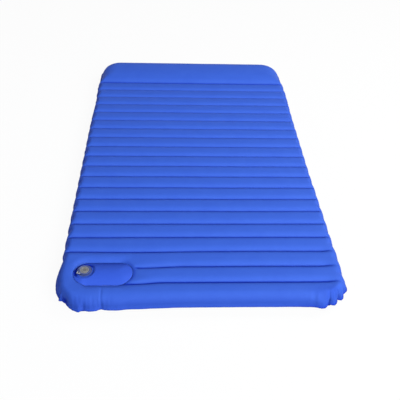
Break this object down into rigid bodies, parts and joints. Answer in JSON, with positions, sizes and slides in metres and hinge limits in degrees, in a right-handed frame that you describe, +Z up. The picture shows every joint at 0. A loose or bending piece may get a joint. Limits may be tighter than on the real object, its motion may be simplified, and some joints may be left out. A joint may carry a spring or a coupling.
{
  "type": "inflatable camping sleeping pad",
  "caption": "Inflated sleeping pad of cross tubes with a raised head tube, baffles between two coated-fabric skins, and a built-in foot pump with a capped two-stage valve.",
  "frame": {"origin": "on the ground, under the middle of the pad", "axes": "+Y along the pad from the foot end with the pump to the raised head end, +Z up, +X to the right seen from the foot end"},
  "size_m": [1.2, 2.0398, 0.138],
  "materials": {
    "coated_fabric": "matt blue woven polyester with a coating on its inner side",
    "inner_fabric": "coated baffle fabric, slightly shiny",
    "pump_foam": "open-cell foam, stands in as fabric",
    "valve_plastic": "satin grey soft plastic",
    "plug_plastic": "satin dark soft plastic",
    "flap_rubber": "matt silicone rubber"
  },
  "bodies": {
    "root": {"top_skin": "coated_fabric", "bottom_skin": "coated_fabric", "baffle_01": "inner_fabric", "baffle_02": "inner_fabric", "baffle_03": "inner_fabric", "baffle_04": "inner_fabric", "baffle_05": "inner_fabric", "baffle_06": "inner_fabric", "baffle_07": "inner_fabric", "baffle_08": "inner_fabric", "baffle_09": "inner_fabric", "baffle_10": "inner_fabric", "baffle_11": "inner_fabric", "baffle_12": "inner_fabric", "baffle_13": "inner_fabric", "baffle_14": "inner_fabric", "baffle_15": "inner_fabric", "baffle_16": "inner_fabric", "baffle_17": "inner_fabric", "baffle_18": "inner_fabric", "baffle_19": "inner_fabric", "baffle_20": "inner_fabric", "pump_chamber": "inner_fabric", "pump_foam": "pump_foam", "outlet_seat": "valve_plastic"},
    "pump": {"pump_cover": "coated_fabric", "valve_flange": "valve_plastic"},
    "plug": {"valve_plug": "plug_plastic"},
    "cap": {"valve_cap": "valve_plastic"},
    "intake": {"intake_flap": "flap_rubber"},
    "outlet": {"outlet_flap": "flap_rubber"}
  },
  "joints": [
    {"name": "pump_stroke", "type": "slide", "parent": "root", "child": "pump", "axis": [0, 0, -1], "range_m": [0, 0.04], "stiffness_N_per_m": 2500, "springref_m": -0.004, "deforming": ["pump_foam"]},
    {"name": "plug_pull", "type": "slide", "parent": "pump", "child": "plug", "axis": [0, 0, 1], "range_m": [0, 0.015]},
    {"name": "cap_hinge", "type": "hinge", "parent": "plug", "child": "cap", "pos_m": [-0.46142, -0.85297, 0.1032], "axis": [-0.5299, 0.848, 0], "range_deg": [0, 140]},
    {"name": "intake_flap_hinge", "type": "hinge", "parent": "plug", "child": "intake", "pos_m": [-0.47381, -0.86071, 0.0903], "axis": [0.5299, -0.848, 0], "range_deg": [0, 35], "stiffness_Nm_per_rad": 0.0004, "springref_deg": -34.38},
    {"name": "outlet_flap_hinge", "type": "hinge", "parent": "root", "child": "outlet", "pos_m": [-0.47465, -0.86123, 0.0209], "axis": [0.5299, -0.848, 0], "range_deg": [0, 30], "stiffness_Nm_per_rad": 0.0004, "springref_deg": -34.38}
  ]
}
